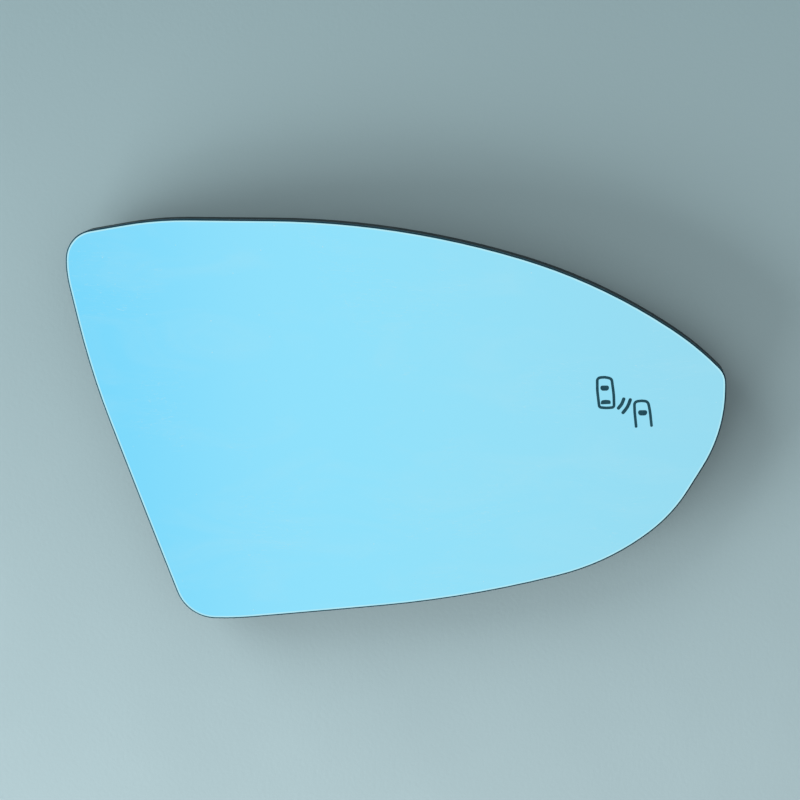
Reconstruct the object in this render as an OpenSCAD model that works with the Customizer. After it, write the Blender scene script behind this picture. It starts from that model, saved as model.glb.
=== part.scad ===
// Heated door mirror glass with a blind-spot lamp, on a moulded backing plate with a clip ring.
// The origin is on the axis of the clip ring, at the foot of the ring. +Z points out of the glass,
// +X to the outer tip and +Y up.

/* [Glass] */
// Length of the glass, from its inner side to its outer tip
glass_length = 176; // [168:1:190]
// Height of the glass
glass_height = 108.5; // [102:0.5:118]
// Thickness of the glass
glass_t = 2; // [1.6:0.1:3]
// Radius of the convex face
face_radius = 1260; // [900:20:2000]

/* [Heater] */
// Thickness of the adhesive that bonds the heater to the glass
bond_t = 0.2; // [0.1:0.05:0.4]
// Thickness of the plastic film that carries the heater track
film_t = 0.2; // [0.1:0.05:0.4]
// Thickness of the foil track
track_t = 0.1; // [0.05:0.01:0.2]
// Width of the foil track
track_w = 3.2; // [2:0.1:4.5]
// Distance between the rows of the track
track_pitch = 7.2; // [6.5:0.1:10]
// Distance from the edge of the film to the outer run of the track
track_margin = 3; // [2:0.5:6]
// Thickness of the foam pad behind the heater
foam_t = 1; // [0.9:0.1:2]

/* [Terminals] */
// Width of a blade
blade_w = 6.3; // [4.8:0.1:6.5]
// Thickness of the sheet of a blade
blade_t = 0.8; // [0.5:0.1:0.8]
// Length of a blade behind the backing plate
blade_l = 8; // [6:0.5:9]
// Length of the foot that is soldered to the film
foot_l = 7; // [5:0.5:8]
// Distance from the inner side of the glass to the terminals, at their own height
terminal_in = 20.4; // [18:0.1:22]
// Distance from the ring axis down to the upper terminal
terminal_y = 8; // [7:0.5:10]
// Distance between the two terminals
terminal_pitch = 12; // [11:0.5:14]

/* [Backing plate] */
// Thickness of the floor of the plate
floor_t = 2.2; // [1.6:0.1:3]
// Thickness of the wall along the edge of the plate
edge_wall = 1.8; // [1.2:0.1:2.5]
// Distance by which the edge of the glass stands out over the plate
glass_overhang = 0.1; // [0.05:0.05:1.5]
// Height of the ribs and of the edge wall behind the floor
rib_h = 2.6; // [1.5:0.1:2.8]
// Thickness of a rib
rib_t = 1.4; // [0.8:0.1:2]
// Number of radial ribs
rib_count = 16; // [8:4:24]
// Radius of the round rib next to the clip ring
near_rib_r = 44; // [40:0.5:46]
// Radius of the outer round rib
far_rib_r = 62; // [56:0.5:66]

/* [Clip ring] */
// Height of the ring, from its foot to the back of the plate
ring_h = 11.8; // [11.5:0.1:16]
// Inner radius of the ring
ring_r = 30; // [27:0.5:32]
// Thickness of the ring
ring_wall = 2; // [1.5:0.1:3]
// Number of snap fingers in the ring
finger_count = 4; // [3:1:5]
// Angle that a finger covers
finger_angle = 32; // [30:1:40]
// Width of the slot on each side of a finger
slot_w = 1.5; // [1:0.1:2.5]
// How far a hook stands in from the ring
hook_in = 1.2; // [0.8:0.1:2]
// Height of the straight land on a hook
hook_land = 1.5; // [1.2:0.1:2.5]
// Height of the lead-in below the land
hook_lead = 0.5; // [0.3:0.1:0.8]
// Thickness of a gusset against the ring
gusset_t = 1.6; // [1:0.1:2.5]
// How far a gusset reaches out from the ring
gusset_reach = 8; // [4:0.5:10]
// Width of the index notch in the foot of the ring
notch_w = 6; // [4:0.5:8]
// Depth of the index notch
notch_h = 4; // [2:0.5:6]

/* [Blind-spot lamp] */
// Distance from the tip of the glass to the lamp
lamp_from_tip = 26.2; // [24:0.1:28]
// Height of the lamp over the ring axis
lamp_y = 3.8; // [0:0.1:6]
// Length of the lit window
lit_l = 15.4; // [14:0.1:15.6]
// Height of the lit window
lit_h = 14.2; // [12:0.1:14.6]
// Wall of the light shaft
shaft_wall = 0.8; // [0.6:0.1:1]
// Thickness of the soft gasket between the lamp and the glass
gasket_t = 0.7; // [0.5:0.1:1]
// Thickness of the diffuser
diffuser_t = 1; // [0.8:0.1:1.2]
// Room in the housing between its wall and each end of the light shaft
end_room = 2.3; // [2:0.1:3]
// Room in the housing between its wall and each side of the light shaft
side_room = 1.9; // [1.6:0.1:2.6]
// Depth of the lamp housing behind the plate
housing_depth = 7.2; // [7:0.1:7.6]
// Wall of the lamp housing
housing_wall = 1.2; // [0.9:0.1:1.4]
// Thickness of the cover on the lamp housing
cover_t = 1; // [0.8:0.1:1.2]
// Thickness of the circuit board
board_t = 1; // [0.8:0.1:1.2]
// Distance between the two lamp pins
pin_pitch = 2.54; // [2:0.01:3]
// Side of a square lamp pin
pin_side = 0.5; // [0.4:0.05:0.64]
// Length of the shroud round the pins
shroud_l = 7; // [5:0.5:8]
// Length of the free way in front of the shroud, for the plug
plug_room = 9; // [6:0.5:10]
// Distance from the side of the housing out to a lamp screw
screw_out = 3.5; // [3.2:0.1:4.5]
// Radius of the shank of a lamp screw
screw_r = 0.9; // [0.7:0.05:1.1]

/* [Hidden] */
$fn = 128;
// Segments round the spheres of the glass, of which the part only has a small patch
sphere_fn = 720;

// Overlap of pieces that are fused, and overshoot of cuts
join = 1;
// Loose fit of one piece in another
loose = 0.2;
// Gap between a flat piece and the curved face that it is pressed against
seat_gap = 0.01;
// Largest distance from an arc to its chords
chord_error = 0.02;

// Distances behind the back of the glass, along its local normal
film_depth = bond_t;
track_depth = film_depth + film_t;
foam_depth = track_depth + track_t;
floor_depth = foam_depth + foam_t;
floor_back = floor_depth + floor_t;
rib_back = floor_back + rib_h;

// Radii of the curved faces, which share one centre behind the glass
back_r = face_radius - glass_t;
centre_z = ring_h - (back_r - floor_back);

// How far a curved face falls away from its tangent plane at the corners of a rectangle
function sag(size) = size * size / 8 / back_r + seat_gap;

// Corners of the outline with their radii, anticlockwise from the tip. Their places are shares of the
// length, from the inner side, and of the height, from the lowest edge. The sides between the arcs are
// straight, and where the arcs meet no straight length is left
shape = [
    [1, 0.4875, 40],        // under the tip
    [1, 0.63, 6],           // tip
    [0.956, 0.701, 77],     // shoulder over the tip
    [0.81, 0.855, 150],     // falling side of the top
    [0.508, 1, 238],        // crown
    [0.139, 1, 95],         // inner end of the crown
    [0, 0.959, 8],          // upper inner corner
    [0, 0.8625, 29],        // top of the inner side
    [0.036, 0.618, 224],    // middle of the inner side
    [0.18, 0, 11],          // lower inner corner
    [0.2525, 0, 90],        // heel of the bottom
    [0.617, 0.066, 320],    // middle of the bottom
    [0.829, 0.158, 72],     // rising side of the bottom
    [0.924, 0.281, 45]      // side under the tip
];

function unit(v) = v / norm(v);
function flat(v) = [v[0], v[1]];
function left_of(v) = [-v[1], v[0]];
function cross_2d(a, b) = a[0] * b[1] - a[1] * b[0];
function before(list, i) = list[(i + len(list) - 1) % len(list)];
function after(list, i) = list[(i + 1) % len(list)];

// Directions into and out of corner i, and the angle by which the outline turns there
function way_in(list, i) = unit(flat(list[i]) - flat(before(list, i)));
function way_out(list, i) = unit(flat(after(list, i)) - flat(list[i]));
function turn(list, i) = asin(cross_2d(way_in(list, i), way_out(list, i)));

// Length of side that the arc at corner i uses up on each side of the corner
function tangent(list, i) = list[i][2] * tan(turn(list, i) / 2);
// Share of its radius that a corner can keep, so that two arcs never meet on one side
function share(list, i, j) = norm(flat(list[i]) - flat(list[j])) / (tangent(list, i) + tangent(list, j));
function limited(list) = [
    for (i = [0:len(list) - 1])
        let (previous = (i + len(list) - 1) % len(list), next = (i + 1) % len(list))
        [list[i][0], list[i][1], list[i][2] * min(1, share(list, previous, i), share(list, i, next))]
];

// The same outline moved inwards by a distance, with its arcs still parallel to the old ones
function inset(list, distance) = [
    for (i = [0:len(list) - 1])
        let (a = left_of(way_in(list, i)), b = left_of(way_out(list, i)))
        let (p = flat(list[i]) + distance * (a + b) / (1 + a * b))
        [p[0], p[1], max(list[i][2] - distance, join / 2)]
];

// Points along the arcs of an outline
function arc_steps(radius, angle) = ceil(angle / (2 * acos(1 - chord_error / radius)));
function rounded(list) = [
    for (i = [0:len(list) - 1])
        let (radius = list[i][2], angle = turn(list, i), u = way_in(list, i))
        let (centre = flat(list[i]) - u * tangent(list, i) + left_of(u) * radius)
        let (steps = arc_steps(radius, angle), start = atan2(u[1], u[0]) - 90)
        for (s = [0:steps])
            let (a = start + angle * s / steps)
            centre + radius * [cos(a), sin(a)]
];

// Middle of the area inside a closed line of points
function total(list) = list * [for (v = list) 1];
function middle_of(points) =
    let (last = len(points) - 1, w = [for (i = [0:last]) cross_2d(points[i], after(points, i))])
    [for (k = [0:1]) total([for (i = [0:last]) (points[i][k] + after(points, i)[k]) * w[i]]) / 3 / total(w)];

// The axis of the clip ring stands in the middle of the glass, so the outline is moved to have it there
corners = limited([for (c = shape) [c[0] * glass_length, c[1] * glass_height, c[2]]]);
axis = middle_of(rounded(corners));
glass_corners = [for (c = corners) [c[0] - axis[0], c[1] - axis[1], c[2]]];
outer_x = glass_length - axis[0];
top_y = glass_height - axis[1];
bottom_y = -axis[1];

function outline(distance) = rounded(inset(glass_corners, distance));
plate_inset = glass_overhang;
pocket_inset = plate_inset + edge_wall;
film_inset = pocket_inset + 2 * loose;

// Where a level line crosses an outline, from left to right
function crossings(points, y) = [
    for (i = [0:len(points) - 1])
        let (p = points[i], q = after(points, i))
        if ((p[1] - y) * (q[1] - y) < 0) p[0] + (q[0] - p[0]) * (y - p[1]) / (q[1] - p[1])
];

// A curved sheet between two depths behind the back of the glass, cut to the shape given as child
module sheet(from, to) {
    difference() {
        intersection() {
            linear_extrude(height = 3 * ring_h) children();
            translate([0, 0, centre_z]) sphere(back_r - from, $fn = sphere_fn);
        }
        translate([0, 0, centre_z]) sphere(back_r - to, $fn = sphere_fn);
    }
}

// A frame on the back of the glass at a place on it, with its Z along the local normal
module on_glass(at) {
    azimuth = atan2(at[1], at[0]);
    tilt = asin(norm(at) / back_r);
    translate([0, 0, centre_z]) rotate([0, 0, azimuth]) rotate([0, tilt, 0]) rotate([0, 0, -azimuth])
        translate([0, 0, back_r]) children();
}

// A block centred on X and Y, from one depth behind the glass to a deeper one
module block(size, from, to) {
    translate([-size[0] / 2, -size[1] / 2, -to]) cube([size[0], size[1], to - from]);
}

// An arc of a ring about Z, with the shape given as child as its section
module ring_arc(middle, angle) {
    rotate([0, 0, middle - angle / 2]) rotate_extrude(angle = angle) children();
}

// Places of the two terminals and of the lamp
terminal_x = min(crossings(outline(0), -terminal_y - terminal_pitch / 2)) + terminal_in;
terminals = [for (i = [0:1]) [terminal_x, -terminal_y - i * terminal_pitch]];
lamp = [outer_x - lamp_from_tip, lamp_y];

// Light shaft, housing and screws of the lamp, each laid round the one before
shaft_l = lit_l + 2 * shaft_wall;
shaft_h = lit_h + 2 * shaft_wall;
housing_l = shaft_l + 2 * (end_room + housing_wall);
housing_w = shaft_h + 2 * (side_room + housing_wall);
screw_pitch = housing_w + 2 * screw_out;

// Windows that the layers leave free for the lamp and for the feet of the terminals
module lamp_window(gap) {
    translate(lamp) square([shaft_l + 2 * gap, shaft_h + 2 * gap], center = true);
}
module foot_windows() {
    for (at = terminals) translate(at) square([foot_l + 4 * loose, blade_w + 4 * loose], center = true);
}

module mirror_glass() {
    color([0.56, 0.85, 0.97]) translate([0, 0, centre_z])
        difference() {
            intersection() {
                translate([0, 0, -centre_z]) linear_extrude(height = 3 * ring_h) polygon(outline(0));
                sphere(face_radius, $fn = sphere_fn);
            }
            sphere(back_r, $fn = sphere_fn);
        }
}

module bonding_film() {
    color([0.85, 0.87, 0.88]) sheet(0, film_depth)
        difference() {
            polygon(outline(film_inset));
            lamp_window(loose);
        }
}

module heater_film() {
    color([0.8, 0.45, 0.15]) sheet(film_depth, track_depth)
        difference() {
            polygon(outline(film_inset));
            lamp_window(loose);
        }
}

// The heater track is one ribbon: from the upper terminal it winds up in level rows, comes down
// along the inner side, and winds up again to the lower terminal
run_inset = film_inset + track_margin + track_w / 2;
row_inset = run_inset + 2 * track_w;
run_line = outline(run_inset);
row_line = outline(row_inset);
lamp_stop = lamp[0] - shaft_l / 2 - track_w;
lamp_band = shaft_h / 2 + track_w;
function row_left(y) = min(crossings(row_line, y));
function row_right(y) = abs(y - lamp_y) < lamp_band ? lamp_stop : max(crossings(run_line, y));
function upper_row(k) = terminals[0][1] + k * track_pitch;
function lower_row(k) = terminals[1][1] - k * track_pitch;
upper_rows = 2 * floor((top_y - run_inset + track_pitch - upper_row(0)) / (2 * track_pitch));
lower_rows = 2 * floor((lower_row(0) - bottom_y - run_inset + track_pitch) / (2 * track_pitch));

// The two ends of the turn from a row to the one after it
function turn_right(a, b) = let (x = min(row_right(a), row_right(b))) [[x, a], [x, b]];
function turn_left(a, b) = let (x = max(row_left(a), row_left(b))) [[x, a], [x, b]];
upper_path = [
    for (k = [0:upper_rows - 2])
        let (a = upper_row(k), b = upper_row(k + 1))
        each (k % 2 == 0 ? turn_right(a, b) : turn_left(a, b))
];
lower_path = [
    for (k = [lower_rows - 1:-1:1])
        let (a = lower_row(k), b = lower_row(k - 1))
        each (k % 2 == 1 ? turn_right(a, b) : turn_left(a, b))
];
levels = [for (k = [upper_rows - 1:-1:0]) upper_row(k), for (k = [0:lower_rows - 1]) lower_row(k)];
run_path = [for (y = levels) [min(crossings(run_line, y)), y]];
track_path = concat([terminals[0]], upper_path, run_path, lower_path, [terminals[1]]);

// Outline of a ribbon of even width along a path, without its two ends
function mitre(path, i) =
    let (a = unit(path[i] - path[i - 1]), b = unit(path[i + 1] - path[i]))
    (left_of(a) + left_of(b)) / (1 + a * b);
function ribbon_side(path, reach) = [for (i = [1:len(path) - 2]) path[i] + mitre(path, i) * reach];
function reversed(list) = [for (i = [len(list) - 1:-1:0]) list[i]];

// One side of the solder pad at an end of the ribbon, which leaves the pad towards the ring
function pad_side(at, side) = [
    at + [-foot_l / 2, side * blade_w / 2],
    at + [foot_l / 2, side * blade_w / 2],
    at + [foot_l / 2, side * track_w / 2]
];

module heater_track() {
    color([0.72, 0.72, 0.74]) sheet(track_depth, foam_depth)
        polygon(concat(
            pad_side(terminals[0], 1),
            ribbon_side(track_path, track_w / 2),
            reversed(pad_side(terminals[1], -1)),
            pad_side(terminals[1], 1),
            reversed(ribbon_side(track_path, -track_w / 2)),
            reversed(pad_side(terminals[0], -1))
        ));
}

// A tab terminal: a foot on the film and a blade bent down from its edge
module heater_terminal(at) {
    foot_front = foam_depth + sag(norm([foot_l, blade_w]));
    blade_top = foot_front + blade_t;
    blade_tip = floor_back + blade_l;
    tip_taper = 1.2;
    tip_slope = 0.9;
    lock_r = 0.8;
    lock_from_tip = 4.2;
    color([0.82, 0.8, 0.74]) on_glass(at) {
        block([foot_l, blade_w], foot_front, blade_top);
        translate([foot_l / 2, 0, 0]) rotate([0, -90, 0]) linear_extrude(height = blade_t)
            difference() {
                polygon([[-foot_front, -blade_w / 2], [-foot_front, blade_w / 2],
                    [tip_taper - blade_tip, blade_w / 2], [-blade_tip, blade_w / 2 - tip_slope],
                    [-blade_tip, tip_slope - blade_w / 2], [tip_taper - blade_tip, -blade_w / 2]]);
                translate([lock_from_tip - blade_tip, 0]) circle(lock_r);
            }
    }
}
module heater_terminal_1() heater_terminal(terminals[0]);
module heater_terminal_2() heater_terminal(terminals[1]);

module foam_pad() {
    color([0.2, 0.2, 0.21]) sheet(foam_depth, floor_depth)
        difference() {
            polygon(outline(film_inset));
            lamp_window(loose);
            foot_windows();
        }
}

// Shroud round the lamp's pins
shroud_wall = 0.65;
mouth_h = 2.8;
pin_side_room = 2.2;
mouth_w = pin_pitch + 2 * pin_side_room;
shroud_w = mouth_w + 2 * shroud_wall;

// Bays in the rib pattern: one round the lamp housing and its plug, one round the two blades
bay_gap = 1;
plug_way = [housing_l / 2 + shroud_l + plug_room, shroud_w + 2 * bay_gap];
lamp_bay = [housing_l + 2 * bay_gap, housing_w + 2 * bay_gap];
blade_bay = [foot_l + 4 * bay_gap, terminal_pitch + blade_w + 4 * bay_gap];
blade_middle = (terminals[0] + terminals[1]) / 2;
module bays(grow) {
    translate(lamp) square([lamp_bay[0] + 2 * grow, lamp_bay[1] + 2 * grow], center = true);
    translate(lamp - [plug_way[0] / 2, 0])
        square([plug_way[0] + 2 * grow, plug_way[1] + 2 * grow], center = true);
    translate(blade_middle) square([blade_bay[0] + 2 * grow, blade_bay[1] + 2 * grow], center = true);
}

// The rib pattern behind the floor, seen from above
hub_r = 7;
module ribs() {
    difference() {
        union() {
            bays(rib_t);
            for (r = [near_rib_r, far_rib_r]) difference() {
                circle(r + rib_t / 2);
                circle(r - rib_t / 2);
            }
            for (i = [0:rib_count - 1]) rotate(i * 360 / rib_count)
                translate([ring_r + ring_wall / 2, -rib_t / 2]) square([glass_length, rib_t]);
            for (i = [0:3]) rotate(i * 90) translate([0, -rib_t / 2]) square([ring_r + ring_wall / 2, rib_t]);
            circle(hub_r);
        }
        bays(0);
        circle(hub_r - rib_t);
    }
}

// Sections of the ring: a stiff arc, and a finger with its hook at the foot
hook_r = ring_r - hook_in;
hook_top = hook_lead + hook_land;
root_z = ring_h + floor_t / 2;
foot_chamfer = 0.6;
module arc_section() {
    polygon([[ring_r + foot_chamfer, 0], [ring_r + ring_wall, 0], [ring_r + ring_wall, root_z],
        [ring_r, root_z], [ring_r, foot_chamfer]]);
}
module finger_section() {
    polygon([[hook_r + hook_lead, 0], [ring_r + ring_wall, 0], [ring_r + ring_wall, root_z],
        [ring_r, root_z], [ring_r, hook_top + hook_in], [hook_r, hook_top], [hook_r, hook_lead]]);
}
finger_step = 360 / finger_count;
slot_angle = 2 * asin(slot_w / 2 / ring_r);
arc_angle = finger_step - finger_angle - 2 * slot_angle;
function arc_middle(i) = i * finger_step;
function finger_middle(i) = (i + 0.5) * finger_step;

module clip_ring() {
    for (i = [0:finger_count - 1]) {
        ring_arc(finger_middle(i), finger_angle) finger_section();
        ring_arc(arc_middle(i), arc_angle) arc_section();
        for (side = [-1, 1]) rotate([0, 0, arc_middle(i) + side * arc_angle / 4])
            translate([ring_r + ring_wall - gusset_t / 2, gusset_t / 2, 0]) rotate([90, 0, 0])
                linear_extrude(height = gusset_t)
                    polygon([[0, foot_chamfer], [0, root_z], [gusset_reach, root_z],
                        [gusset_reach, ring_h - rib_h]]);
    }
}

// Bosses for the lamp screws, on the frame of the lamp
boss_r = 2.4;
boss_stand = 0.7;
ear_t = 1.6;
boss_depth = rib_back + boss_stand;
pilot_r = screw_r + loose / 4;
pilot_depth = floor_back - floor_t / 3;
module at_screws() {
    for (side = [-1, 1]) translate([0, side * screw_pitch / 2, 0]) children();
}
module upright(r, from, to) {
    translate([0, 0, -to]) cylinder(h = to - from, r = r);
}

module backing_plate() {
    window_in = hook_r - loose;
    key_y = ring_r - ring_wall;
    color([0.12, 0.13, 0.14]) difference() {
        union() {
            difference() {
                sheet(0, rib_back) polygon(outline(plate_inset));
                sheet(-join, floor_depth) polygon(outline(pocket_inset));
                sheet(floor_back, rib_back + join) difference() {
                    polygon(outline(pocket_inset));
                    ribs();
                }
            }
            clip_ring();
            on_glass(lamp) at_screws() upright(boss_r, floor_back - floor_t / 2, boss_depth);
        }
        for (i = [0:finger_count - 1]) ring_arc(finger_middle(i), finger_angle)
            translate([window_in, ring_h - rib_h]) square([ring_r - window_in, 3 * rib_h]);
        translate([-notch_w / 2, key_y, -join]) cube([notch_w, 3 * ring_wall, notch_h + join]);
        on_glass(lamp) {
            block([shaft_l + 2 * loose, shaft_h + 2 * loose], 0, rib_back);
            at_screws() upright(pilot_r, pilot_depth, boss_depth + join);
            block([housing_l + 2 * loose, housing_w + 2 * loose], web_depth, rim_depth + cover_t + loose);
            translate([-(housing_l + shroud_l) / 2, 0, 0])
                block([shroud_l + 2 * loose, shroud_w + 2 * loose], web_depth, rim_depth + cover_t + loose);
        }
        for (at = terminals) on_glass(at) translate([(foot_l - blade_t) / 2, 0, 0])
            block([blade_t + 4 * loose, blade_w + 4 * loose], 0, floor_back + blade_l + join);
    }
}

// Depths of the lamp's parts behind the back of the glass
web_t = 1.2;
ledge = 0.8;
recess = 1.3;
diffuser_depth = gasket_t + recess;
ledge_depth = diffuser_depth + diffuser_t;
web_depth = floor_back + sag(norm([housing_l, housing_w]));
rim_depth = floor_back + housing_depth;
tip_room = 0.8;
board_back = rim_depth - tip_room;
board_depth = board_back - board_t;
led_t = 1.6;
board_l = housing_l - 2 * housing_wall - 2 * loose;
board_w = housing_w - 2 * housing_wall - 2 * loose;
pillar = 2.4;
pin_lift = 0.6;
pin_depth = board_depth - pin_lift - pin_side / 2;

module lamp_gasket() {
    color([0.16, 0.16, 0.17]) on_glass(lamp) difference() {
        block([shaft_l, shaft_h], sag(norm([shaft_l, shaft_h])), gasket_t);
        block([lit_l, lit_h], 0, gasket_t + join);
    }
}

module lamp_diffuser() {
    color([0.93, 0.92, 0.88]) on_glass(lamp)
        block([lit_l - loose, lit_h - loose], diffuser_depth, ledge_depth);
}

module lamp_housing() {
    ear_front = boss_depth;
    ear_back = boss_depth + ear_t;
    shroud_x = -housing_l / 2 - shroud_l;
    color([0.09, 0.09, 0.1]) on_glass(lamp) difference() {
        union() {
            block([shaft_l, shaft_h], gasket_t, web_depth + web_t);
            block([lit_l - 2 * ledge + 2 * shaft_wall, lit_h - 2 * ledge + 2 * shaft_wall], web_depth,
                board_depth - loose);
            difference() {
                block([housing_l, housing_w], web_depth, rim_depth);
                block([housing_l - 2 * housing_wall, housing_w - 2 * housing_wall], web_depth + web_t,
                    rim_depth + join);
            }
            for (sx = [-1, 1], sy = [-1, 1])
                translate([sx * (board_l - pillar) / 2, sy * (board_w - pillar) / 2, 0])
                    block([pillar + 2 * loose, pillar + 2 * loose], web_depth + web_t / 2, board_depth);
            for (side = [-1, 1]) {
                translate([0, side * screw_pitch / 2, 0]) upright(boss_r, ear_front, ear_back);
                translate([0, side * (screw_pitch + housing_w - housing_wall) / 4, 0])
                    block([2 * boss_r, (screw_pitch - housing_w + housing_wall) / 2], ear_front, ear_back);
            }
            translate([shroud_x + shroud_l / 2, 0, 0])
                block([shroud_l, shroud_w], pin_depth - mouth_h / 2 - shroud_wall,
                    pin_depth + mouth_h / 2 + shroud_wall);
        }
        block([lit_l, lit_h], 0, ledge_depth);
        block([lit_l - 2 * ledge, lit_h - 2 * ledge], 0, board_depth);
        translate([shroud_x + shroud_l / 2 - join, 0, 0])
            block([shroud_l, mouth_w], pin_depth - mouth_h / 2, pin_depth + mouth_h / 2);
        for (side = [-1, 1]) translate([-housing_l / 2, side * pin_pitch / 2, 0])
            block([4 * housing_wall, pin_side + loose / 2], pin_depth - pin_side / 2 - loose / 4,
                pin_depth + pin_side / 2 + loose / 4);
        at_screws() upright(screw_r + 2 * loose, 0, rim_depth);
    }
}

module lamp_cover() {
    lip_h = 0.5;
    lip_t = 0.8;
    lip_l = housing_l - 2 * housing_wall - 2 * loose;
    lip_w = housing_w - 2 * housing_wall - 2 * loose;
    color([0.1, 0.1, 0.11]) on_glass(lamp) {
        block([housing_l, housing_w], rim_depth, rim_depth + cover_t);
        difference() {
            block([lip_l, lip_w], rim_depth - lip_h, rim_depth + cover_t / 2);
            block([lip_l - 2 * lip_t, lip_w - 2 * lip_t], rim_depth - 2 * lip_h, rim_depth);
        }
    }
}

// Legs of the pins stand near the edge of the board that faces the ring
leg_in = 1.4;
leg_x = leg_in - board_l / 2;
module lamp_board() {
    color([0.1, 0.35, 0.22]) on_glass(lamp) difference() {
        block([board_l, board_w], board_depth, board_back);
        for (side = [-1, 1]) translate([leg_x, side * pin_pitch / 2, 0])
            upright(pin_side, board_depth - join, board_back + join);
    }
}

// A lamp package with a cup in its face
led_l = 3.5;
led_w = 2.8;
led_x = 3.2;
module lamp_led(side) {
    cup_r = 1.1;
    cup_depth = 0.5;
    color([0.9, 0.88, 0.7]) on_glass(lamp) translate([side * led_x, 0, 0]) difference() {
        block([led_l, led_w], board_depth - led_t, board_depth);
        upright(cup_r, board_depth - led_t - join, board_depth - led_t + cup_depth);
    }
}
module lamp_led_1() lamp_led(-1);
module lamp_led_2() lamp_led(1);

// A chip resistor lies flat on the board, midway between the light shaft and the end of the board
module lamp_resistor(side) {
    chip = [0.8, 1.6];
    chip_t = 0.5;
    chip_x = (lit_l / 2 - ledge + shaft_wall + board_l / 2) / 2;
    chip_y = 3;
    color([0.15, 0.15, 0.17]) on_glass(lamp) translate([chip_x, side * chip_y, 0])
        block(chip, board_depth - chip_t, board_depth);
}
module lamp_resistor_1() lamp_resistor(-1);
module lamp_resistor_2() lamp_resistor(1);

// An angled pin: a leg through the board and a tongue out into the shroud
module lamp_pin(side) {
    tip_in = 1.5;
    tongue_tip = tip_in - housing_l / 2 - shroud_l;
    color([0.85, 0.75, 0.45]) on_glass(lamp) translate([0, side * pin_pitch / 2, 0]) {
        translate([(tongue_tip + leg_x) / 2, 0, 0])
            block([leg_x - tongue_tip + pin_side, pin_side], pin_depth - pin_side / 2,
                pin_depth + pin_side / 2);
        translate([leg_x, 0, 0])
            block([pin_side, pin_side], pin_depth - pin_side / 2, board_back + tip_room / 2);
    }
}
module lamp_pin_1() lamp_pin(-1);
module lamp_pin_2() lamp_pin(1);

// Pan-head screws through the ears of the housing
module lamp_screws() {
    head_r = 2;
    head_t = 1.3;
    shank_l = 5;
    drive_r = 0.9;
    drive_depth = 0.7;
    head_front = boss_depth + ear_t;
    color([0.62, 0.63, 0.65]) on_glass(lamp) at_screws() difference() {
        union() {
            upright(head_r, head_front, head_front + head_t);
            upright(screw_r, head_front - shank_l, head_front);
        }
        upright(drive_r, head_front + head_t - drive_depth, head_front + head_t + join);
    }
}

mirror_glass();
bonding_film();
heater_film();
heater_track();
heater_terminal_1();
heater_terminal_2();
foam_pad();
backing_plate();
lamp_gasket();
lamp_diffuser();
lamp_housing();
lamp_cover();
lamp_board();
lamp_led_1();
lamp_led_2();
lamp_resistor_1();
lamp_resistor_2();
lamp_pin_1();
lamp_pin_2();
lamp_screws();
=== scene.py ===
import math

import bmesh
import bpy
from mathutils import Matrix, Vector


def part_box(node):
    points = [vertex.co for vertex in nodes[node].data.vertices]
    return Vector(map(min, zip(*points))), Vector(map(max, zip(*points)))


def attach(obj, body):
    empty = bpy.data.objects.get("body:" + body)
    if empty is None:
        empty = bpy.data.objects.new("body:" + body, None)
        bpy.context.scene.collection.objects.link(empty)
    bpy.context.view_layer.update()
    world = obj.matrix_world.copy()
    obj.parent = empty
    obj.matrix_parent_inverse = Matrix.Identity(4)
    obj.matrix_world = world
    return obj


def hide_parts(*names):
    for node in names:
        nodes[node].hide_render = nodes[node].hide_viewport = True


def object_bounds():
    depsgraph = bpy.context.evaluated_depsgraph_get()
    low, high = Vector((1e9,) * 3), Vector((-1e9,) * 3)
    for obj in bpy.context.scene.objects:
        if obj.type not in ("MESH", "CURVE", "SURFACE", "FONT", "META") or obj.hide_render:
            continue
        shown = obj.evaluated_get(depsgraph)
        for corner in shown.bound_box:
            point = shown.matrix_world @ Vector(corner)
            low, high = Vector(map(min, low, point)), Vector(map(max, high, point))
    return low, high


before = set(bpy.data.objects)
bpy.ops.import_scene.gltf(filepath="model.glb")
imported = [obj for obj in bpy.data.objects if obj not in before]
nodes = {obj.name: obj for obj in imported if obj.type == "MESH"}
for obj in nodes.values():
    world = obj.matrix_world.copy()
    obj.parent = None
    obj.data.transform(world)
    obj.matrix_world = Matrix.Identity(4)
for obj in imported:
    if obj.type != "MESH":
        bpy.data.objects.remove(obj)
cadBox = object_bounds()
mm = 0.001
print("frame loaded:", len(nodes), "nodes")


# Small helpers for shapes

def turnOf(a, b, c):  # positive where the way from a over b to c turns left
    return (b[0] - a[0]) * (c[1] - a[1]) - (b[1] - a[1]) * (c[0] - a[0])


def hullOutline(nodeName):  # outer outline of a node seen from above, anticlockwise
    points = sorted({(round(v.co.x, 7), round(v.co.y, 7)) for v in nodes[nodeName].data.vertices})

    def half(ordered):
        chain = []
        for p in ordered:
            while len(chain) > 1 and turnOf(chain[-2], chain[-1], p) <= 0:
                chain.pop()
            chain.append(p)
        return chain[:-1]

    return [Vector(p) for p in half(points) + half(points[::-1])]


def evenly(points, spacing, closed=True):  # the same line with points at an even spacing
    ring = points + points[:1] if closed else points
    lengths = [(b - a).length for a, b in zip(ring, ring[1:])]
    total = sum(lengths)
    count = max(4, round(total / spacing))
    steps = count if closed else count + 1
    result, segment, passed = [], 0, 0.0
    for i in range(steps):
        target = min(total * i / count, total - 1e-9)  # never past the end
        while passed + lengths[segment] < target:
            passed += lengths[segment]
            segment += 1
        a, b = ring[segment], ring[segment + 1]
        result.append(a.lerp(b, (target - passed) / lengths[segment]))
    return result


def sidewaysOf(points, closed=True):  # unit vectors to the left of a line, one for each point
    result = []
    last = len(points) - 1
    for i, p in enumerate(points):
        before = points[i - 1] if closed or i else p
        after = points[(i + 1) % len(points)] if closed or i < last else p
        way = (after - before).normalized()
        result.append(Vector((-way.y, way.x)))
    return result


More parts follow.
